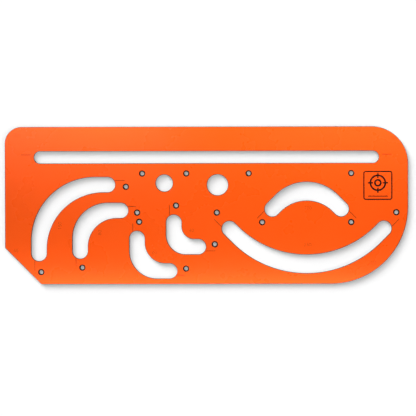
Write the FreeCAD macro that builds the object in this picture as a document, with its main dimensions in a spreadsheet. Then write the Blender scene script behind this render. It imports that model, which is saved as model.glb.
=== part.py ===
"""Router curve template: a 1000 x 390 x 12 mm compact-laminate board with guide slots.

The board is a black phenolic core between two orange face sheets.  It carries one
straight slot, six curved slots, two round apertures and sixteen countersunk
locating-pin holes.  Every slot wall is laid out from the finished radius it routes:
a 30 mm guide bush follows the wall while a 12.7 mm cutter does the work, so a wall
stands off the finished line by half the difference of the two diameters.

Frame: origin at the middle of the board's underside, +X along the length,
+Y towards the straight slot, +Z out of the engraved face.  Millimetres.
"""
import FreeCAD, Part

import math
import os
import sys

import Sketcher  # noqa: F401

V = FreeCAD.Vector
doc = FreeCAD.newDocument("curve_template")

# ---------------------------------------------------------------- driving sizes
sheet = doc.addObject("Spreadsheet::Sheet", "Dims")

DIMS = [
    # board
    ("board_len", 1000.0), ("board_wid", 390.0), ("board_thk", 12.0),
    ("face_thk", 0.3), ("arris", 0.65),
    # tool pair the template is made for
    ("bush_dia", 30.0), ("cutter_dia", 12.7),
    # finished radii of the three rounded corners, and the leg of the cut-off corner
    ("corner_tl", 50.0), ("corner_tr", 100.0), ("corner_br", 200.0), ("corner_cut", 90.0),
    # straight slot
    ("straight_len", 855.4), ("straight_wid", 30.4), ("straight_cy", 314.5),
    # shared shape of the curved slots
    ("leg_wid", 38.0), ("leg_len", 31.0),
    # finished radius and centre of the outer wall of each curved slot
    ("ra_fin", 150.0), ("ra_cx", 223.8), ("ra_cy", 107.0),
    ("rb_fin", 80.0), ("rb_cx", 256.0), ("rb_cy", 112.9),
    ("rc_fin", 60.0), ("rc_cx", 377.4), ("rc_cy", 81.8),
    ("rd_fin", 40.0), ("rd_cx", 448.7), ("rd_cy", 121.9),
    ("re_fin", 250.0), ("re_cx", 748.6), ("re_cy", 284.5),
    ("rf_fin", 100.0), ("rf_cx", 748.8), ("rf_cy", 144.1),
    # round apertures, as finished hole sizes
    ("hole_small", 25.0), ("hole_small_cx", 395.8), ("hole_small_cy", 250.3),
    ("hole_large", 35.0), ("hole_large_cx", 527.8), ("hole_large_cy", 245.7),
    # locating-pin holes
    ("pin_dia", 10.0), ("pin_sink", 2.75),
    # engraved reference lines
    ("scribe_wid", 1.0), ("scribe_len", 25.0), ("scribe_short", 20.0),
]
PINS = [
    ("pin_a1", 340.8, 274.2), ("pin_a2", 450.3, 274.2),
    ("pin_b1", 605.0, 274.2), ("pin_b2", 859.2, 274.2),
    ("pin_c1", 300.3, 241.4), ("pin_c2", 89.5, 29.8),
    ("pin_d1", 327.9, 177.2), ("pin_d2", 191.7, 40.8),
    ("pin_e1", 333.1, 154.4), ("pin_e2", 449.3, 37.9),
    ("pin_f1", 424.7, 194.6), ("pin_f2", 520.7, 98.3),
    ("pin_g1", 525.9, 177.0), ("pin_g2", 970.9, 177.0),
    ("pin_j1", 638.4, 152.8), ("pin_j2", 859.0, 152.8),
]
for pname, px, py in PINS:
    DIMS.append((pname + "_x", px))
    DIMS.append((pname + "_y", py))

VAL = {}
for row, (alias, value) in enumerate(DIMS, start=1):
    sheet.set("A%d" % row, alias)
    sheet.set("B%d" % row, repr(value))
    sheet.setAlias("B%d" % row, alias)
    VAL[alias] = value
doc.recompute()

HALF_L, HALF_W = VAL["board_len"] / 2, VAL["board_wid"] / 2
OFF = (VAL["bush_dia"] - VAL["cutter_dia"]) / 2
OFF_X = "(Dims.bush_dia - Dims.cutter_dia) / 2"
HL_X, HW_X = "Dims.board_len / 2", "Dims.board_wid / 2"


# ---------------------------------------------------------------- sketch helpers
def unit(deg):
    return V(math.cos(math.radians(deg)), math.sin(math.radians(deg)), 0)


def arc(cx, cy, r, a0, a1):
    return Part.ArcOfCircle(
        Part.Circle(V(cx, cy, 0), V(0, 0, 1), r), math.radians(a0), math.radians(a1)
    )


def line(p, q):
    return Part.LineSegment(V(p.x, p.y, 0), V(q.x, q.y, 0))


class Sketch:
    """A sketch on its body's XY plane at height z_expr, with named, sheet-driven dimensions."""

    def __init__(self, body, name, z_expr, z_val):
        self.o = body.newObject("Sketcher::SketchObject", body.Name + "_" + name)
        plane = [f for f in body.Origin.OriginFeatures if f.Role == "XY_Plane"][0]
        self.o.AttachmentSupport = [(plane, "")]
        self.o.MapMode = "FlatFace"
        self.o.AttachmentOffset = FreeCAD.Placement(V(0, 0, z_val), FreeCAD.Rotation())
        if z_expr:
            self.o.setExpression("AttachmentOffset.Base.z", z_expr)
        self.n = 0

    def add(self, *geos):
        return [self.o.addGeometry(g, False) for g in geos]

    def con(self, *args):
        return self.o.addConstraint(Sketcher.Constraint(*args))

    def dim(self, expr, *args):
        i = self.con(*args)
        self.n += 1
        name = "d%d" % self.n
        self.o.renameConstraint(i, name)
        self.o.setExpression("Constraints." + name, expr)
        return i

    def tangent(self, *ends):
        for g1, p1, g2, p2 in ends:
            self.con("Tangent", g1, p1, g2, p2)


def pos(expr):
    """A sheet position measured from the board's left or lower edge, from its middle instead."""
    return "Dims.%s - %s" % (expr, HL_X if expr.endswith("x") else HW_X)


def curved_slot(body, key, bisector, grow, z_expr, z_val):
    """Slot between two quarter-circle walls with straight ends, every wall moved out by grow arrises."""
    a = VAL["arris"] * grow
    ax = " + %g * Dims.arris" % grow
    s = Sketch(body, "slot_" + key, z_expr, z_val)
    cx, cy = VAL[key + "_cx"] - HALF_L, VAL[key + "_cy"] - HALF_W
    w, leg = VAL["leg_wid"], VAL["leg_len"]
    r_out, r_in = VAL[key + "_fin"] + OFF + a, VAL[key + "_fin"] - OFF - a
    O = V(cx, cy, 0)
    I = O - unit(bisector) * (math.sqrt(2) * (w - 2 * OFF))
    lo, hi = bisector - 45, bisector + 45
    pts = {}
    for tag, ang, away in (("A", hi, bisector + 135), ("B", lo, bisector - 135)):
        po = O + unit(ang) * r_out + unit(away) * leg
        pts[tag] = (O + unit(ang) * r_out, po, po - unit(ang) * (w + 2 * a), I + unit(ang) * r_in,
                    po - unit(ang) * (w / 2 + a))
    oA, pA, qA, iA, cA = pts["A"]
    oB, pB, qB, iB, cB = pts["B"]
    s.add(
        arc(O.x, O.y, r_out, lo, hi),
        line(oA, pA),
        arc(cA.x, cA.y, w / 2 + a, hi, hi + 180),
        line(qA, iA),
        arc(I.x, I.y, r_in, lo, hi),
        line(iB, qB),
        arc(cB.x, cB.y, w / 2 + a, lo + 180, lo + 360),
        line(pB, oB),
    )
    s.tangent((0, 2, 1, 1), (1, 2, 2, 1), (2, 2, 3, 1), (3, 2, 4, 2),
              (4, 1, 5, 1), (5, 2, 6, 1), (6, 2, 7, 1), (7, 2, 0, 1))
    if bisector % 90:
        for g in (1, 3, 5, 7):
            geo = s.o.Geometry[g]
            d = geo.EndPoint - geo.StartPoint
            s.con("Vertical" if abs(d.y) > abs(d.x) else "Horizontal", g)
    else:
        for g in (1, 3, 5, 7):
            geo = s.o.Geometry[g]
            d = geo.EndPoint - geo.StartPoint
            s.con("Angle", g, math.atan2(d.y, d.x))
    s.dim(pos(key + "_cx"), "DistanceX", 0, 3, cx)
    s.dim(pos(key + "_cy"), "DistanceY", 0, 3, cy)
    s.dim("Dims.%s_fin + %s%s" % (key, OFF_X, ax), "Radius", 0, r_out)
    s.dim("Dims.%s_fin - %s - %g * Dims.arris" % (key, OFF_X, grow), "Radius", 4, r_in)
    s.dim("Dims.leg_wid / 2%s" % ax, "Radius", 2, w / 2 + a)
    s.con("Equal", 2, 6)
    s.dim("Dims.leg_len", "Distance", 1, leg)
    s.con("Equal", 1, 7)
    return s.o


def straight_slot(body, grow, z_expr, z_val):
    a = VAL["arris"] * grow
    s = Sketch(body, "slot_straight", z_expr, z_val)
    r = VAL["straight_wid"] / 2
    hx, cy = VAL["straight_len"] / 2 - r, VAL["straight_cy"] - HALF_W
    s.add(
        line(V(-hx, cy + r + a, 0), V(hx, cy + r + a, 0)),
        arc(hx, cy, r + a, -90, 90),
        line(V(hx, cy - r - a, 0), V(-hx, cy - r - a, 0)),
        arc(-hx, cy, r + a, 90, 270),
    )
    s.tangent((0, 2, 1, 2), (1, 1, 2, 1), (2, 2, 3, 2), (3, 1, 0, 1))
    s.con("Horizontal", 0)
    s.con("Horizontal", 2)
    s.dim("Dims.straight_wid / 2 + %g * Dims.arris" % grow, "Radius", 1, r + a)
    s.dim("(Dims.straight_len - Dims.straight_wid) / 2", "DistanceX", 1, 3, hx)
    s.dim(pos("straight_cy"), "DistanceY", 1, 3, cy)
    s.dim("-(Dims.straight_len - Dims.straight_wid) / 2", "DistanceX", 3, 3, -hx)
    return s.o


def outline(body, grow, z_expr, z_val):
    """Board outline, drawn in by grow arrises."""
    a = VAL["arris"] * grow
    g = "%g * Dims.arris" % grow
    s = Sketch(body, "outline", z_expr, z_val)
    X, Y = HALF_L - a, HALF_W - a
    tl, tr, br = (VAL["corner_" + k] - OFF - a for k in ("tl", "tr", "br"))
    c = VAL["corner_cut"] - a * (2 - math.sqrt(2))
    s.add(
        line(V(-X + c, -Y, 0), V(X - br, -Y, 0)),
        arc(X - br, -Y + br, br, -90, 0),
        line(V(X, -Y + br, 0), V(X, Y - tr, 0)),
        arc(X - tr, Y - tr, tr, 0, 90),
        line(V(X - tr, Y, 0), V(-X + tl, Y, 0)),
        arc(-X + tl, Y - tl, tl, 90, 180),
        line(V(-X, Y - tl, 0), V(-X, -Y + c, 0)),
        line(V(-X, -Y + c, 0), V(-X + c, -Y, 0)),
    )
    s.tangent((0, 2, 1, 1), (1, 2, 2, 1), (2, 2, 3, 1), (3, 2, 4, 1), (4, 2, 5, 1), (5, 2, 6, 1))
    s.con("Coincident", 6, 2, 7, 1)
    s.con("Coincident", 7, 2, 0, 1)
    s.con("Horizontal", 0)
    s.con("Horizontal", 4)
    s.con("Vertical", 2)
    s.con("Vertical", 6)
    s.dim("%s - %s" % (HL_X, g), "DistanceX", 2, 1, X)
    s.dim("%s - %s" % (HW_X, g), "DistanceY", 4, 1, Y)
    s.dim("%s - %s" % (g, HL_X), "DistanceX", 6, 1, -X)
    s.dim("%s - %s" % (g, HW_X), "DistanceY", 0, 1, -Y)
    for geo, k, r in ((1, "br", br), (3, "tr", tr), (5, "tl", tl)):
        s.dim("Dims.corner_%s - %s - %s" % (k, OFF_X, g), "Radius", geo, r)
    cut = "Dims.corner_cut - %s * %.9f" % (g, 2 - math.sqrt(2))
    s.dim("%s - %s + %s" % (g, HL_X, cut), "DistanceX", 7, 2, -X + c)
    s.dim("%s - %s + %s" % (g, HW_X, cut), "DistanceY", 7, 1, -Y + c)
    return s.o


def circles(body, name, items, z_expr, z_val):
    """items: (x alias, y alias, radius expression, radius)"""
    s = Sketch(body, name, z_expr, z_val)
    for xa, ya, rexpr, r in items:
        cx, cy = VAL[xa] - HALF_L, VAL[ya] - HALF_W
        (g,) = s.add(Part.Circle(V(cx, cy, 0), V(0, 0, 1), r))
        s.dim(pos(xa), "DistanceX", g, 3, cx)
        s.dim(pos(ya), "DistanceY", g, 3, cy)
        s.dim(rexpr, "Radius", g, r)
    return s.o


def tap_items(grow):
    out = []
    for k in ("hole_small", "hole_large"):
        out.append((k + "_cx", k + "_cy",
                    "Dims.%s / 2 + %s + %g * Dims.arris" % (k, OFF_X, grow),
                    VAL[k] / 2 + OFF + grow * VAL["arris"]))
    return out


def pin_items(extra_expr="", extra=0.0):
    return [(n + "_x", n + "_y", "Dims.pin_dia / 2" + extra_expr, VAL["pin_dia"] / 2 + extra)
            for n, _, _ in PINS]


# ---------------------------------------------------------------- bodies
CURVED = [("ra", 135), ("rb", 135), ("rc", 225), ("rd", 225), ("re", 270), ("rf", 90)]
log = []


def volume_after(feature, before, what):
    doc.recompute()
    v = feature.Shape.Volume
    if before is not None and not v < before - 1:
        sys.exit("%s removed nothing" % what)
    log.append("%-34s %12.1f mm3" % (what, v))
    return v


def make_board(label, z_expr, z_val, t_expr, t_val, grow, pin_extra_expr, pin_extra):
    body = doc.addObject("PartDesign::Body", label)
    body.Label = label
    pad = body.newObject("PartDesign::Pad", label + "_pad")
    pad.Profile = outline(body, grow, z_expr, z_val)
    pad.Length = t_val
    pad.setExpression("Length", t_expr)
    vol = volume_after(pad, None, label + " pad")
    cuts = [("straight", straight_slot(body, grow, z_expr, z_val))]
    cuts += [(k, curved_slot(body, k, b, grow, z_expr, z_val)) for k, b in CURVED]
    cuts.append(("apertures", circles(body, "apertures", tap_items(grow), z_expr, z_val)))
    cuts.append(("pin_holes", circles(body, "pins", pin_items(pin_extra_expr, pin_extra), z_expr, z_val)))
    last = pad
    for name, sk in cuts:
        pocket = body.newObject("PartDesign::Pocket", label + "_cut_" + name)
        pocket.Profile = sk
        pocket.Type = 1
        pocket.Reversed = True
        vol = volume_after(pocket, vol, label + " cut " + name)
        last = pocket
    return body, last, vol


def edges_at(shape, z, pick):
    return ["Edge%d" % (i + 1) for i, e in enumerate(shape.Edges)
            if all(abs(v.Point.z - z) < 1e-6 for v in e.Vertexes) and pick(e)]


def is_pin_edge(e):
    return isinstance(e.Curve, Part.Circle) and abs(e.Curve.Radius - VAL["pin_dia"] / 2) < 1e-6


# black core: the full-thickness walls that guide the bush
core, tip, vol = make_board(
    "core_panel", "Dims.face_thk", VAL["face_thk"],
    "Dims.board_thk - 2 * Dims.face_thk", VAL["board_thk"] - 2 * VAL["face_thk"], 0, "", 0.0)
z_top, z_bot = VAL["board_thk"] - VAL["face_thk"], VAL["face_thk"]

sink = core.newObject("PartDesign::Chamfer", "core_pin_countersinks")
names = edges_at(tip.Shape, z_top, is_pin_edge)
assert len(names) == len(PINS), names
sink.Base = (tip, names)
sink.Size = VAL["pin_sink"]
sink.setExpression("Size", "Dims.pin_sink")
vol = volume_after(sink, vol, "core countersinks")

for nm, z in (("upper", z_top), ("lower", z_bot)):
    ar = core.newObject("PartDesign::Chamfer", "core_arris_" + nm)
    prev = core.Tip if core.Tip is not ar else sink
    base = sink if nm == "upper" else doc.getObject("core_arris_upper")

    def wanted(e, base=base, nm=nm):
        if isinstance(e.Curve, Part.Circle):
            r = e.Curve.Radius
            if abs(r - VAL["pin_dia"] / 2 - VAL["pin_sink"]) < 1e-6 and nm == "upper":
                return False
        return True

    ar.Base = (base, edges_at(base.Shape, z, wanted))
    ar.Size = VAL["arris"]
    ar.setExpression("Size", "Dims.arris")
    vol = volume_after(ar, vol, "core arris " + nm)
core.Tip = doc.getObject("core_arris_lower")

# orange faces: they stop at the arris and at the countersinks
upper, tip, vol = make_board(
    "top_face_sheet", "Dims.board_thk - Dims.face_thk", z_top,
    "Dims.face_thk", VAL["face_thk"], 1, " + Dims.pin_sink", VAL["pin_sink"])

# reference lines engraved through the upper face, in line with the routed edge
def scribe_rects():
    """Start, direction and length name of each engraved line, from the sheet values."""
    out = []
    w, leg = VAL["leg_wid"], VAL["leg_len"]
    reach = math.sqrt((w / 2) ** 2 - (w / 2 - OFF) ** 2)
    for key, b in CURVED:
        O = V(VAL[key + "_cx"] - HALF_L, VAL[key + "_cy"] - HALF_W, 0)
        r = VAL[key + "_fin"]
        for ang, away in ((b + 45, b + 135), (b - 45, b - 135)):
            start = O + unit(ang) * r + unit(away) * (leg + reach + 1.8)
            out.append((start, away, "scribe_short" if key in ("rb", "rc") else "scribe_len"))
    cy = VAL["straight_cy"] - HALF_W + VAL["straight_wid"] / 2 - OFF
    rr = VAL["straight_wid"] / 2
    hx = VAL["straight_len"] / 2 - rr + math.sqrt(rr ** 2 - (rr - OFF) ** 2) + 8.8
    out.append((V(hx, cy, 0), 0, "scribe_len"))
    out.append((V(-hx, cy, 0), 180, "scribe_len"))
    return out


scribes = Sketch(upper, "scribes", "Dims.board_thk - Dims.face_thk", z_top)
for start, away, size in scribe_rects():
    d, n = unit(away), unit(away + 90) * (VAL["scribe_wid"] / 2)
    end = start + d * VAL[size]
    p = [start - n, end - n, end + n, start + n]
    g = scribes.add(*[line(p[i], p[(i + 1) % 4]) for i in range(4)])
    for i in range(4):
        scribes.con("Coincident", g[i], 2, g[(i + 1) % 4], 1)
    scribes.con("Angle", g[0], math.radians(((away + 180) % 360) - 180))
    scribes.con("Perpendicular", g[0], g[1])
    scribes.con("Perpendicular", g[1], g[2])
    scribes.con("Perpendicular", g[2], g[3])
    scribes.con("DistanceX", g[0], 1, p[0].x)
    scribes.con("DistanceY", g[0], 1, p[0].y)
    scribes.dim("Dims." + size, "Distance", g[0], VAL[size])
    scribes.dim("Dims.scribe_wid", "Distance", g[1], VAL["scribe_wid"])
cut = upper.newObject("PartDesign::Pocket", "top_scribe_lines")
cut.Profile = scribes.o
cut.Type = 1
cut.Reversed = True
vol = volume_after(cut, vol, "top scribe lines")
upper.Tip = cut

lower, tip, vol = make_board(
    "bottom_face_sheet", "", 0.0, "Dims.face_thk", VAL["face_thk"], 1, " + Dims.arris", VAL["arris"])

# ---------------------------------------------------------------- checks and export
doc.recompute()
bad = [o.Name for o in doc.Objects if any(st in ("Invalid", "Error") for st in o.State)]
if bad:
    sys.exit("failed features: %s" % bad)
for o in doc.Objects:
    if o.TypeId == "Sketcher::SketchObject":
        if o.solve() != 0:
            sys.exit("%s does not solve" % o.Name)
        if not o.FullyConstrained:
            print("not fully constrained:", o.Name)

PARTS = [core, upper, lower]
for b in PARTS:
    s = b.Shape
    if s.isNull() or not s.isValid() or not s.Solids:
        sys.exit("%s has a bad shape" % b.Label)

os.makedirs("parts", exist_ok=True)
for old in os.listdir("parts"):
    os.remove(os.path.join("parts", old))
for b in PARTS:
    b.Shape.exportStep("parts/%s.step" % b.Label)
    bb = b.Shape.BoundBox
    print("%-18s solids %d faces %3d vol %.1f  x %.2f..%.2f y %.2f..%.2f z %.2f..%.2f" % (
        b.Label, len(b.Shape.Solids), len(b.Shape.Faces), b.Shape.Volume,
        bb.XMin, bb.XMax, bb.YMin, bb.YMax, bb.ZMin, bb.ZMax))
for text in log:
    print(text)
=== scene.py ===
import math
import bpy
from mathutils import Euler, Matrix, Vector
from mathutils.geometry import delaunay_2d_cdt


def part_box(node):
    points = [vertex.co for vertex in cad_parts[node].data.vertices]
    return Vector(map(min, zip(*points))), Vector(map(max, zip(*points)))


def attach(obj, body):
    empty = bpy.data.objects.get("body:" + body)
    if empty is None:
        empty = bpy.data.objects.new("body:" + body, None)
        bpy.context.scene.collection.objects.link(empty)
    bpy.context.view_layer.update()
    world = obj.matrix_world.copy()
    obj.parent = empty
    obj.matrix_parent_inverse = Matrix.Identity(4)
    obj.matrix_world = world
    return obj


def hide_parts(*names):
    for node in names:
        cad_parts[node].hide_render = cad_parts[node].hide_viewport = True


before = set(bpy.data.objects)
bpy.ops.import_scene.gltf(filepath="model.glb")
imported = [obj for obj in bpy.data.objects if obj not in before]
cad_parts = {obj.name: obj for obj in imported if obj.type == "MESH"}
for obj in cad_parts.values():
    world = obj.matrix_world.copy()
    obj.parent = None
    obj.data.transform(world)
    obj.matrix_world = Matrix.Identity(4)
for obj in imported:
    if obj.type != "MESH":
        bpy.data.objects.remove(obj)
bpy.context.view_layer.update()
scene = bpy.context.scene

# ------------------------------------------------------------------ sizes
# millimetres, origin at the middle of the board's underside, as in the CAD
core_lo, core_hi = [Vector(c) * 1000 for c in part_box("core_panel")]
top_lo, top_hi = [Vector(c) * 1000 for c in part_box("top_face_sheet")]
bot_lo, bot_hi = [Vector(c) * 1000 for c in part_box("bottom_face_sheet")]
HL = (core_hi.x - core_lo.x) / 2
HW = (core_hi.y - core_lo.y) / 2
THK = top_hi.z
FACE = top_hi.z - top_lo.z
ARRIS = core_hi.x - top_hi.x
OFF = (30.0 - 12.7) / 2          # guide bush 30, cutter 12.7
SLOT_W, SLOT_LEG = 38.0, 31.0
# finished radius, centre from the lower left corner, direction that the bend points
CURVES = {
    "r150": (150, 223.8, 107.0, 135),
    "r80": (80, 256.0, 112.9, 135),
    "r60": (60, 377.4, 81.8, 225),
    "r40": (40, 448.7, 121.9, 225),
    "r250": (250, 748.6, 284.5, 270),
    "r100": (100, 748.8, 144.1, 90),
}
APERTURES = ((395.8, 250.3, 42.3), (527.8, 245.7, 52.3))
PINS = (
    (340.8, 274.2), (450.3, 274.2), (605.0, 274.2), (859.2, 274.2),
    (300.3, 241.4), (89.5, 29.8), (327.9, 177.2), (191.7, 40.8),
    (333.1, 154.4), (449.3, 37.9), (424.7, 194.6), (520.7, 98.3),
    (525.9, 177.0), (970.9, 177.0), (638.4, 152.8), (859.0, 152.8),
)
SLOT_LEN, SLOT_WID, SLOT_Y = 855.4, 30.4, 314.5 - 195.0
SCRIBE_W, SCRIBE_L, SCRIBE_SHORT, SCRIBE_GAP = 1.0, 25.0, 20.0, 1.8
SAG = 0.008                      # how far a chord may leave its arc


def u(deg):
    a = math.radians(deg)
    return Vector((math.cos(a), math.sin(a)))


# ------------------------------------------------------------------ outlines
# an outline is a list of (point, normal out of the material, kind)
def arc(c, r, a0, a1, side, kind="edge"):
    """Points of an arc. side is +1 where the material lies inside the arc, -1 where it lies outside."""
    step = math.degrees(2 * math.acos(1 - SAG / r))
    n = max(4, math.ceil(abs(a1 - a0) / step))
    out = []
    for i in range(n + 1):
        d = u(a0 + (a1 - a0) * i / n)
        out.append((Vector(c) + d * r, d * side, kind))
    return out


def circle(c, r, kind):
    return arc(c, r, 0, 360, -1, kind)[:-1]


def board():
    cut = 90.0
    r1, r2, r3 = 200 - OFF, 100 - OFF, 50 - OFF
    pts = arc((HL - r1, -HW + r1), r1, -90, 0, 1)
    pts += arc((HL - r2, HW - r2), r2, 0, 90, 1)
    pts += arc((-HL + r3, HW - r3), r3, 90, 180, 1)
    k = math.tan(math.radians(22.5))
    pts.append((Vector((-HL, -HW + cut)), Vector((-1, -k)), "edge"))
    pts.append((Vector((-HL + cut, -HW)), Vector((-k, -1)), "edge"))
    return pts


def curved(key):
    r, cx, cy, b = CURVES[key]
    o = Vector((cx - HL, cy - HW))
    ro, ri, w = r + OFF, r - OFF, SLOT_W / 2
    i = o - u(b) * math.sqrt(2) * (SLOT_W - 2 * OFF)
    lo, hi = b - 45, b + 45
    ca = o + u(hi) * ro + u(b + 135) * SLOT_LEG - u(hi) * w
    cb = o + u(lo) * ro + u(b - 135) * SLOT_LEG - u(lo) * w
    return (arc(o, ro, lo, hi, -1) + arc(ca, w, hi, hi + 180, -1)
            + arc(i, ri, hi, lo, 1) + arc(cb, w, lo + 180, lo + 360, -1))


def straight():
    r = SLOT_WID / 2
    x = SLOT_LEN / 2 - r
    return arc((x, SLOT_Y), r, -90, 90, -1) + arc((-x, SLOT_Y), r, 90, 270, -1)


def at(x, y):
    return Vector((x - HL, y - HW))


HOLES = [curved(k) for k in CURVES] + [straight()]
HOLES += [circle(at(x, y), d / 2, "edge") for x, y, d in APERTURES]
HOLES += [circle(at(x, y), 5.0, "pin") for x, y in PINS]
BOARD = board()


# ------------------------------------------------------------------ engraving
def ribbon(pts, width, closed=False):
    """Faces of a line of this width with round ends and mitred bends."""
    pts = [Vector(p) for p in pts]
    n, h = len(pts), width / 2
    left, right = [], []
    for i, p in enumerate(pts):
        a = pts[i - 1] if i or closed else None
        c = pts[(i + 1) % n] if i + 1 < n or closed else None
        d1 = (p - a).normalized() if a is not None else None
        d2 = (c - p).normalized() if c is not None else None
        d1, d2 = d1 or d2, d2 or d1
        n1, n2 = Vector((-d1.y, d1.x)), Vector((-d2.y, d2.x))
        m = (n1 + n2) / max(0.35, 1 + n1.dot(n2))
        left.append(p + m * h)
        right.append(p - m * h)
    faces = []
    for i in range(n if closed else n - 1):
        j = (i + 1) % n
        faces.append([right[i], right[j], left[j], left[i]])
    if not closed:
        for p, q, l, r in ((pts[0], pts[1], left[0], right[0]), (pts[-1], pts[-2], left[-1], right[-1])):
            d = (p - q).normalized()
            a0 = math.degrees(math.atan2(d.y, d.x)) - 90
            cap = [p + u(a0 + 180 * k / 5) * h for k in range(1, 5)]
            ends = (r, l) if (r - (p + u(a0) * h)).length < (l - (p + u(a0) * h)).length else (l, r)
            faces.append([ends[0]] + cap + [ends[1]])
    return faces


def bend(cx, cy, rx, ry, a0, a1, n=9):
    return [(cx + rx * math.cos(math.radians(a0 + (a1 - a0) * i / n)),
             cy + ry * math.sin(math.radians(a0 + (a1 - a0) * i / n))) for i in range(n + 1)]


# one-line figures in a box 0.62 wide and 1 high
FIGURES = {
    "0": ([bend(0.31, 0.69, 0.31, 0.31, 0, 180) + bend(0.31, 0.31, 0.31, 0.31, 180, 360)], True),
    "1": ([[(0.08, 0.78), (0.34, 1.0), (0.34, 0.0)]], False),
    "2": ([bend(0.30, 0.70, 0.29, 0.30, 165, -35) + [(0.02, 0.0), (0.60, 0.0)]], False),
    "4": ([[(0.44, 0.0), (0.44, 1.0), (0.0, 0.28), (0.62, 0.28)]], False),
    "5": ([[(0.56, 1.0), (0.10, 1.0), (0.05, 0.55)] + bend(0.28, 0.32, 0.31, 0.32, 122, -150, 12)], False),
    "6": ([[(0.50, 1.0), (0.10, 0.52)] + bend(0.31, 0.31, 0.30, 0.31, 150, -210, 14)], False),
    "8": ([bend(0.31, 0.76, 0.24, 0.24, 0, 345, 14), bend(0.31, 0.26, 0.31, 0.26, 0, 345, 14)], True),
}


def label(text, x, y, height=7.4, width=0.34, turn=0.0):
    """Faces of engraved figures, centred on (x, y) from the lower left corner."""
    pitch = 0.88
    total = (len(text) - 1) * pitch + 0.62
    faces = []
    for i, ch in enumerate(text):
        strokes, closed = FIGURES[ch]
        for s in strokes:
            pts = []
            for px, py in s:
                v = Vector(((px + i * pitch - total / 2) * height, (py - 0.5) * height))
                v.rotate(Matrix.Rotation(math.radians(turn), 2))
                if not pts or (at(x, y) + v - pts[-1]).length > 0.02:
                    pts.append(at(x, y) + v)
            if closed and (pts[0] - pts[-1]).length < 0.02:
                pts.pop()
            faces += ribbon(pts, width, closed)
    return faces


def bar(a, b, width):
    a, b = Vector(a), Vector(b)
    d = (b - a).normalized()
    n = Vector((-d.y, d.x)) * width / 2
    return [[a - n, b - n, b + n, a + n]]


def scribes():
    faces = []
    w = SLOT_W / 2
    reach = math.sqrt(w ** 2 - (w - OFF) ** 2)
    for key, (r, cx, cy, b) in CURVES.items():
        o = Vector((cx - HL, cy - HW))
        size = SCRIBE_SHORT if key in ("r80", "r60") else SCRIBE_L
        for ang, away in ((b + 45, b + 135), (b - 45, b - 135)):
            s = o + u(ang) * r + u(away) * (SLOT_LEG + reach + SCRIBE_GAP)
            faces += bar(s, s + u(away) * size, SCRIBE_W)
    r = SLOT_WID / 2
    x = SLOT_LEN / 2 - r + math.sqrt(r ** 2 - (r - OFF) ** 2) + 8.8
    y = SLOT_Y + r - OFF
    for s in (-1, 1):
        faces += bar((s * x, y), (s * (x + SCRIBE_L), y), SCRIBE_W)
    return faces


def rounded_square(c, h, r):
    pts = []
    for k, (sx, sy) in enumerate(((1, 1), (-1, 1), (-1, -1), (1, -1))):
        m = Vector(c) + Vector((sx * (h - r), sy * (h - r)))
        pts += [m + u(90 * k + 90 * i / 8) * r for i in range(9)]
    return pts


def ring_circle(c, r, n=72):
    return [Vector(c) + u(360 * i / n) * r for i in range(n)]


def emblem():
    """A plain pictogram of a guide bush round a cutter in a square. Gives (line faces, [(outer, inner)])."""
    c = Vector((425.2, 48.6))
    m = c + Vector((0, 6.4))
    rings = [
        (rounded_square(c, 36.1, 6.6), rounded_square(c, 33.1, 3.6)),
        (ring_circle(m, 20.6), ring_circle(m, 16.4)),
        (ring_circle(m, 9.4), ring_circle(m, 5.2)),
    ]
    lines = []
    for k in range(4):
        lines += bar(m + u(90 * k) * 12.2, m + u(90 * k) * 25.0, 3.4)
    for k in range(25):
        x = -24.0 + 2.0 * k
        lines += bar(c + Vector((x, -27.6)), c + Vector((x, -27.6 + (4.4 if k % 5 == 2 else 2.8))), 0.8)
    lines += bar(c + Vector((-24.4, -28.0)), c + Vector((24.4, -28.0)), 1.0)
    return lines, rings


LABELS = (
    ("50", 31, 370, 0), ("45", 27, 84, 0), ("150", 136, 145, 90), ("80", 235, 128, 90), ("60", 371, 79, 0),
    ("40", 463, 133, 0), ("250", 751, 97, 0), ("100", 752, 188, 0), ("200", 911, 52, 0), ("100", 965, 362, 0),
)


# ------------------------------------------------------------------ meshes
def plan(inset_edge, inset_pin, cuts=(), rings=()):
    """Triangles of the board in plan, holes left out, and the engraving too if there is any.
    The outlines are moved into the material by these insets. Gives [(x, y, nx, ny, kind)], [triangle]."""
    info, faces = [], []
    for loop in [BOARD] + HOLES:
        f = []
        for p, n, kind in loop:
            if f:
                q = info[f[-1]]
                if (Vector(q[:2]) - p).length < 1e-4:
                    continue
            f.append(len(info))
            info.append((p.x, p.y, n.x, n.y, kind))
        q0, q1 = info[f[0]], info[f[-1]]
        if (Vector(q0[:2]) - Vector(q1[:2])).length < 1e-4:
            f.pop()
            info.pop()
        faces.append(f)
    n_out = len(faces)
    inset = {"edge": inset_edge, "pin": inset_pin}
    verts = [Vector((x - nx * inset[k], y - ny * inset[k])) for x, y, nx, ny, k in info]

    def add(poly):
        area = sum(a.x * b.y - b.x * a.y for a, b in zip(poly, poly[1:] + poly[:1]))
        f = []
        for p in poly if area > 0 else poly[::-1]:
            f.append(len(verts))
            verts.append(Vector(p))
        faces.append(f)
        return len(faces) - 1

    cut_ids = {add(p) for p in cuts}
    ring_ids = [(add(a), add(b)) for a, b in rings]
    v, _, tri, ov, _, of_ = delaunay_2d_cdt(verts, [], faces, 0, 1e-4, True)
    out = []
    for i, t in enumerate(tri):
        ids = set(of_[i])
        if 0 not in ids or any(k in ids for k in range(1, n_out)) or ids & cut_ids:
            continue
        if any(a in ids and b not in ids for a, b in ring_ids):
            continue
        out.append(list(t))
    plan_v = []
    for i, p in enumerate(v):
        src = [k for k in ov[i] if k < len(info)]
        plan_v.append(info[src[0]] if src else (p.x, p.y, 0.0, 0.0, "cut"))
    return plan_v, out


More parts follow.
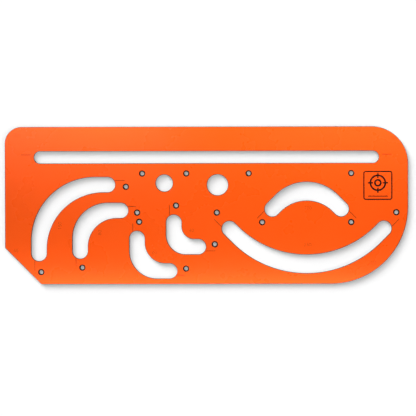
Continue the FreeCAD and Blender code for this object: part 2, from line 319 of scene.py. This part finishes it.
def solid(name, plan_v, tris, levels):
    """A closed mesh. levels are (z, inset of the edges, inset of the pin holes, rim) from the bottom up."""
    used = sorted({i for t in tris for i in t})
    co, rim, rows = [], [], []
    for z, e, p, w in levels:
        row = {}
        for i in used:
            x, y, nx, ny, kind = plan_v[i]
            d = {"edge": e, "pin": p, "cut": 0.0}[kind]
            c = ((x - nx * d) / 1000, (y - ny * d) / 1000, z / 1000)
            if rows and co[rows[-1][i]] == c:        # an engraved wall has no step here
                row[i] = rows[-1][i]
                continue
            row[i] = len(co)
            co.append(c)
            rim.append({"edge": w, "pin": 0.45 * w, "cut": 0.0}[kind])
        rows.append(row)
    faces = [[rows[0][i] for i in reversed(t)] for t in tris]
    faces += [[rows[-1][i] for i in t] for t in tris]
    sides = {}
    for t in tris:
        for a, b in zip(t, t[1:] + t[:1]):
            sides[(a, b)] = True
    for a, b in sides:
        if (b, a) in sides:
            continue
        for lo, hi in zip(rows, rows[1:]):
            f = []
            for k in (lo[a], lo[b], hi[b], hi[a]):
                if k not in f:
                    f.append(k)
            if len(f) > 2:
                faces.append(f)
    me = bpy.data.meshes.new(name)
    me.from_pydata(co, [], faces)
    me.validate()
    att = me.attributes.new("rim", "FLOAT", "POINT")
    att.data.foreach_set("value", rim)
    me.update()
    me.shade_smooth()
    me.set_sharp_from_angle(angle=math.radians(24))
    ob = bpy.data.objects.new(name, me)
    scene.collection.objects.link(ob)
    return ob


lines, rings = emblem()
cuts = scribes() + lines
for text, x, y, turn in LABELS:
    cuts += label(text, x, y, turn=turn)

SINK = 2.75
base_v, base_t = plan(ARRIS, ARRIS)
core = solid("core_board", base_v, base_t, [
    (core_lo.z, ARRIS, ARRIS, 1.0),
    (core_lo.z + ARRIS, 0.0, 0.0, 0.0),
    (core_hi.z - SINK, 0.0, 0.0, 0.0),
    (core_hi.z - ARRIS, 0.0, SINK - ARRIS, 0.0),
    (core_hi.z, ARRIS, SINK, 1.0),
])
RING, SOFT = ARRIS + 0.5, 0.12
top_v, top_t = plan(RING, SINK + RING - ARRIS, cuts, rings)
upper = solid("upper_orange_face", top_v, top_t, [
    (top_lo.z, ARRIS, SINK, 1.0),
    (THK - SOFT, ARRIS, SINK, 1.0),
    (THK, ARRIS + SOFT, SINK + SOFT, 1.0),
    (THK, RING, SINK + RING - ARRIS, 0.0),
])
low_v, low_t = plan(RING, RING)
lower = solid("lower_orange_face", low_v, low_t, [
    (0.0, RING, RING, 0.0),
    (0.0, ARRIS + SOFT, ARRIS + SOFT, 1.0),
    (SOFT, ARRIS, ARRIS, 1.0),
    (bot_hi.z, ARRIS, ARRIS, 1.0),
])


# ------------------------------------------------------------------ materials
def new_material(name):
    m = bpy.data.materials.new(name)
    m.use_nodes = True
    nt = m.node_tree
    nt.nodes.clear()
    out = nt.nodes.new("ShaderNodeOutputMaterial")
    bs = nt.nodes.new("ShaderNodeBsdfPrincipled")
    nt.links.new(bs.outputs["BSDF"], out.inputs["Surface"])
    return m, nt, bs


def node(nt, kind, **sets):
    n = nt.nodes.new(kind)
    for k, v in sets.items():
        setattr(n, k, v)
    return n


def noise(nt, vec, scale, detail=3.0, rough=0.5, dist=0.0):
    n = node(nt, "ShaderNodeTexNoise")
    n.inputs["Scale"].default_value = scale
    n.inputs["Detail"].default_value = detail
    n.inputs["Roughness"].default_value = rough
    n.inputs["Distortion"].default_value = dist
    nt.links.new(vec, n.inputs["Vector"])
    return n.outputs["Fac"]


def stretched(nt, vec, scale, rot=0.0):
    n = node(nt, "ShaderNodeMapping")
    n.inputs["Scale"].default_value = scale
    n.inputs["Rotation"].default_value = (0, 0, math.radians(rot))
    nt.links.new(vec, n.inputs["Vector"])
    return n.outputs["Vector"]


def remap(nt, val, a, b, c, d):
    n = node(nt, "ShaderNodeMapRange")
    for k, v in zip(("From Min", "From Max", "To Min", "To Max"), (a, b, c, d)):
        n.inputs[k].default_value = v
    nt.links.new(val, n.inputs["Value"])
    return n.outputs["Result"]


def maths(nt, op, a, b=None, clamp=False):
    n = node(nt, "ShaderNodeMath", operation=op, use_clamp=clamp)
    for i, v in enumerate((a, b)):
        if v is None:
            continue
        if isinstance(v, (int, float)):
            n.inputs[i].default_value = v
        else:
            nt.links.new(v, n.inputs[i])
    return n.outputs[0]


def mix(nt, fac, a, b):
    n = node(nt, "ShaderNodeMix", data_type="RGBA")
    for key, v in ((0, fac), (6, a), (7, b)):
        if isinstance(v, (int, float)):
            n.inputs[key].default_value = v
        elif isinstance(v, tuple):
            n.inputs[key].default_value = (*v, 1.0)
        else:
            nt.links.new(v, n.inputs[key])
    return n.outputs[2]


def bump(nt, height, strength, distance, normal=None):
    n = node(nt, "ShaderNodeBump")
    n.inputs["Strength"].default_value = strength
    n.inputs["Distance"].default_value = distance
    nt.links.new(height, n.inputs["Height"])
    if normal is not None:
        nt.links.new(normal, n.inputs["Normal"])
    return n.outputs["Normal"]


def orange_material(name, wear):
    """Satin high-pressure laminate: even colour, faint mottling, fine pearl texture, hairline scuffs, and a brown line where the cutter broke the edge."""
    m, nt, bs = new_material(name)
    pos = node(nt, "ShaderNodeTexCoord").outputs["Object"]
    mottle = noise(nt, pos, 9.0, 4.0, 0.55)
    cloud = noise(nt, pos, 2.6, 2.0)
    grain = noise(nt, pos, 1500.0, 2.0, 0.6)
    fibre = noise(nt, stretched(nt, pos, (60, 420, 60), 12), 1.0, 3.0, 0.6)
    hair1 = noise(nt, stretched(nt, pos, (7, 900, 7), 23), 1.0, 2.0, 0.55, 0.4)
    hair2 = noise(nt, stretched(nt, pos, (8, 760, 8), -41), 1.0, 2.0, 0.55, 0.4)
    patch = noise(nt, pos, 14.0, 3.0, 0.6)
    scuff = maths(nt, "MAXIMUM", remap(nt, hair1, 0.735, 0.79, 0, 1), remap(nt, hair2, 0.735, 0.79, 0, 1))
    scuff = maths(nt, "MULTIPLY", scuff, remap(nt, patch, 0.46, 0.62, 0, 1))
    scuff = maths(nt, "MULTIPLY", scuff, wear)
    tone = maths(nt, "ADD", maths(nt, "MULTIPLY", mottle, 0.6), maths(nt, "MULTIPLY", cloud, 0.4))
    tone = remap(nt, tone, 0.22, 0.78, 0, 1)
    col = mix(nt, tone, ORANGE_DEEP, ORANGE_BRIGHT)
    col = mix(nt, maths(nt, "MULTIPLY", remap(nt, fibre, 0.35, 0.7, 0, 1), 0.10), col, ORANGE_PALE)
    col = mix(nt, maths(nt, "MULTIPLY", remap(nt, grain, 0.42, 0.62, 1, 0), 0.10), col, ORANGE_PIT)
    col = mix(nt, maths(nt, "MULTIPLY", scuff, 0.12), col, (0.95, 0.30, 0.12))
    edge = node(nt, "ShaderNodeAttribute", attribute_name="rim").outputs["Fac"]
    edge = maths(nt, "ADD", edge, remap(nt, noise(nt, pos, 260.0, 3.0), 0.3, 0.7, -0.10, 0.10))
    edge = remap(nt, edge, 0.15, 0.60, 0, 1)
    col = mix(nt, maths(nt, "MULTIPLY", edge, 0.92), col, (0.060, 0.016, 0.006))
    nt.links.new(col, bs.inputs["Base Color"])
    rough = maths(nt, "ADD", remap(nt, mottle, 0.3, 0.7, ROUGH - 0.025, ROUGH + 0.025), maths(nt, "MULTIPLY", scuff, 0.12))
    rough = maths(nt, "ADD", rough, maths(nt, "MULTIPLY", edge, 0.15), True)
    nt.links.new(rough, bs.inputs["Roughness"])
    nrm = bump(nt, noise(nt, pos, 420.0, 2.0, 0.5), 0.10, 0.0002)
    nrm = bump(nt, grain, 0.45, 0.00006, nrm)
    nrm = bump(nt, scuff, 0.20, -0.00003, nrm)
    nt.links.new(nrm, bs.inputs["Normal"])
    bs.inputs["Specular IOR Level"].default_value = 0.5
    return m


def core_material():
    """Black phenolic paper board: pressed layers seen edge-on, cutter marks up the walls, turning marks in the sinks."""
    m, nt, bs = new_material("black_phenolic")
    pos = node(nt, "ShaderNodeTexCoord").outputs["Object"]
    sep = node(nt, "ShaderNodeSeparateXYZ")
    nt.links.new(pos, sep.inputs[0])
    wob = noise(nt, pos, 45.0, 2.0)
    height = maths(nt, "ADD", sep.outputs["Z"], maths(nt, "MULTIPLY", wob, 0.00007))
    comb = node(nt, "ShaderNodeCombineXYZ")
    nt.links.new(maths(nt, "MULTIPLY", height, 4200.0), comb.inputs["Z"])
    nt.links.new(maths(nt, "MULTIPLY", sep.outputs["X"], 9.0), comb.inputs["X"])
    nt.links.new(maths(nt, "MULTIPLY", sep.outputs["Y"], 9.0), comb.inputs["Y"])
    ply = noise(nt, comb.outputs[0], 1.0, 2.0, 0.7)
    streak = noise(nt, stretched(nt, pos, (1500, 1500, 30)), 1.0, 2.0, 0.6)
    chat = noise(nt, stretched(nt, pos, (420, 420, 14)), 1.0, 1.0)
    dust = noise(nt, pos, 330.0, 4.0, 0.7)
    col = mix(nt, remap(nt, ply, 0.38, 0.66, 0, 1), (0.0065, 0.006, 0.006), (0.024, 0.018, 0.0145))
    col = mix(nt, maths(nt, "MULTIPLY", remap(nt, streak, 0.45, 0.75, 0, 1), 0.35), col, (0.034, 0.029, 0.026))
    col = mix(nt, maths(nt, "MULTIPLY", remap(nt, dust, 0.60, 0.74, 0, 1), 0.25), col, (0.075, 0.062, 0.052))
    edge = node(nt, "ShaderNodeAttribute", attribute_name="rim").outputs["Fac"]
    col = mix(nt, maths(nt, "MULTIPLY", edge, 0.25), col, (0.022, 0.017, 0.015))
    nt.links.new(col, bs.inputs["Base Color"])
    nt.links.new(remap(nt, streak, 0.3, 0.7, 0.52, 0.70), bs.inputs["Roughness"])
    nrm = bump(nt, chat, 0.25, 0.00008)
    nrm = bump(nt, streak, 0.30, 0.00004, nrm)
    nrm = bump(nt, ply, 0.22, 0.00003, nrm)
    nt.links.new(nrm, bs.inputs["Normal"])
    bs.inputs["Specular IOR Level"].default_value = 0.22
    return m


ORANGE_DEEP = (0.975, 0.0900, 0.0026)
ORANGE_BRIGHT = (0.985, 0.0990, 0.0032)
ORANGE_PALE = (0.985, 0.118, 0.0075)
ORANGE_PIT = (0.90, 0.062, 0.0020)
ROUGH = 0.28
core.data.materials.append(core_material())
upper.data.materials.append(orange_material("orange_laminate", 0.6))
lower.data.materials.append(orange_material("orange_laminate_underside", 1.0))
for piece, name, slot in ((core, "core_panel", "phenolic_core"), (upper, "top_face_sheet", "orange_face"),
                          (lower, "bottom_face_sheet", "orange_face")):
    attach(piece, "root")
    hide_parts(name)

# ------------------------------------------------------------------ floor, lights, camera
me = bpy.data.meshes.new("floor")
S = 30.0
me.from_pydata([(-S, -S, 0), (S, -S, 0), (S, S, 0), (-S, S, 0)], [], [(0, 1, 2, 3)])
floor = bpy.data.objects.new("floor", me)
floor.location.z = -0.0002
scene.collection.objects.link(floor)
m, nt, bs = new_material("white_floor")
pos = node(nt, "ShaderNodeTexCoord").outputs["Object"]
nt.links.new(mix(nt, noise(nt, pos, 3.0), (0.94, 0.94, 0.94), (0.96, 0.96, 0.96)), bs.inputs["Base Color"])
bs.inputs["Roughness"].default_value = 0.9
bs.inputs["Specular IOR Level"].default_value = 0.1
floor.data.materials.append(m)

world = bpy.data.worlds.new("studio")
scene.world = world
world.use_nodes = True
nt = world.node_tree
nt.nodes.clear()
out = nt.nodes.new("ShaderNodeOutputWorld")
bg = nt.nodes.new("ShaderNodeBackground")
tc = nt.nodes.new("ShaderNodeTexCoord")
sx = nt.nodes.new("ShaderNodeSeparateXYZ")
nt.links.new(tc.outputs["Generated"], sx.inputs[0])
lvl = remap(nt, sx.outputs["Z"], 0.04, 0.30, 0.85, 0.03)
nt.links.new(lvl, bg.inputs["Strength"])
bg.inputs["Color"].default_value = (1, 1, 1, 1)
nt.links.new(bg.outputs[0], out.inputs[0])


def sun(name, azimuth, elevation, angle, strength):
    """azimuth in degrees counter-clockwise from +X, of the side that the light comes from."""
    d = bpy.data.lights.new(name, "SUN")
    d.angle, d.energy = math.radians(angle), strength
    o = bpy.data.objects.new(name, d)
    e, a = math.radians(elevation), math.radians(azimuth)
    way = Vector((math.cos(e) * math.cos(a), math.cos(e) * math.sin(a), math.sin(e)))
    o.rotation_mode = "QUATERNION"
    o.rotation_quaternion = way.to_track_quat("Z", "Y")
    o.location = way * 3
    scene.collection.objects.link(o)
    return o


def softbox(name, loc, aim, w, h, power):
    d = bpy.data.lights.new(name, "AREA")
    d.shape, d.size, d.size_y, d.energy = "RECTANGLE", w, h, power
    o = bpy.data.objects.new(name, d)
    o.location = loc
    o.rotation_mode = "QUATERNION"
    o.rotation_quaternion = (Vector(loc) - Vector(aim)).to_track_quat("Z", "Y")
    o.visible_camera = False
    scene.collection.objects.link(o)
    return o


def only(light, group):
    light.light_linking.receiver_collection = group


on_faces = bpy.data.collections.new("lit_faces")
on_core = bpy.data.collections.new("lit_core")
on_floor = bpy.data.collections.new("lit_floor")
on_faces.objects.link(upper)
on_faces.objects.link(lower)
on_core.objects.link(core)
on_floor.objects.link(floor)

# broad light from the upper left and weak fill from the other sides, with more on the black core than on the
# faces, so that the satin faces stay deep in colour and take their gradient from the strips beside them
SHEEN = 0.22                     # the part of the broad light that the satin faces mirror
for name, azimuth, elevation, angle, strength in (
    ("key", 128, 36, 44, 1.02),
    ("fill_right", 45, 28, 34, 0.34),
    ("fill_front", 262, 28, 34, 0.16),
):
    soft = sun(name, azimuth, elevation, angle, strength * (1 - SHEEN))
    soft.visible_glossy = False
    only(soft, on_faces)
    only(sun(name + "_sheen", azimuth, elevation, angle, strength * SHEEN), on_faces)
    only(sun(name + "_core", azimuth, elevation, angle, strength * 1.4), on_core)
# the sweep: most of its light from above and from the upper left, so that the shadow falls short and to the lower right
for name, azimuth, elevation, angle, strength in (
    ("sweep_above", 0, 90, 20, 1.085),
    ("sweep_key", 120, 50, 44, 1.375),
    ("sweep_key_low", 130, 30, 30, 1.454),
    ("sweep_front", 330, 50, 30, 0.468),
):
    only(sun(name, azimuth, elevation, angle, strength), on_floor)
for name, loc, w, h, power in (
    ("strip_high_left", (-0.5, 0.24, 1.00), 0.8, 0.2, 0.87),
    ("strip_high_right", (0.5, 0.24, 1.00), 0.8, 0.2, 0.32),
    ("strip_left", (-0.5, 0.40, 0.13), 0.8, 0.2, 2.30),
    ("strip_middle", (0.0, 0.40, 0.20), 0.8, 0.2, 1.64),
    ("strip_right", (0.5, 0.40, 0.20), 0.8, 0.2, 3.15),
    ("strip_front", (0.0, -0.24, 0.35), 1.4, 0.1, 0.40),
    ("strip_front_low", (0.0, -0.25, 0.04), 1.4, 0.06, 1.85),
):
    aim = (loc[0], 0.0 if loc[1] > 0 else -0.05, 0.0)
    strip = softbox(name, loc, aim, w, h, power)
    strip.visible_glossy = loc[2] > 0.3      # the low strips would mirror in the board from the sides
    only(strip, on_faces)

cam = bpy.data.cameras.new("camera")
cam.lens, cam.sensor_width = 418.63, 36.0
cam.clip_start, cam.clip_end = 0.5, 100.0
cam_ob = bpy.data.objects.new("camera", cam)
cam_ob.location = (0.25307, 0.38301, 12.00023)
cam_ob.rotation_euler = Euler((math.radians(-1.8642), math.radians(1.185), math.radians(-0.1533)))
scene.collection.objects.link(cam_ob)
scene.camera = cam_ob
scene.view_settings.view_transform = "Standard"
scene.view_settings.look = "None"

bpy.context.view_layer.update()
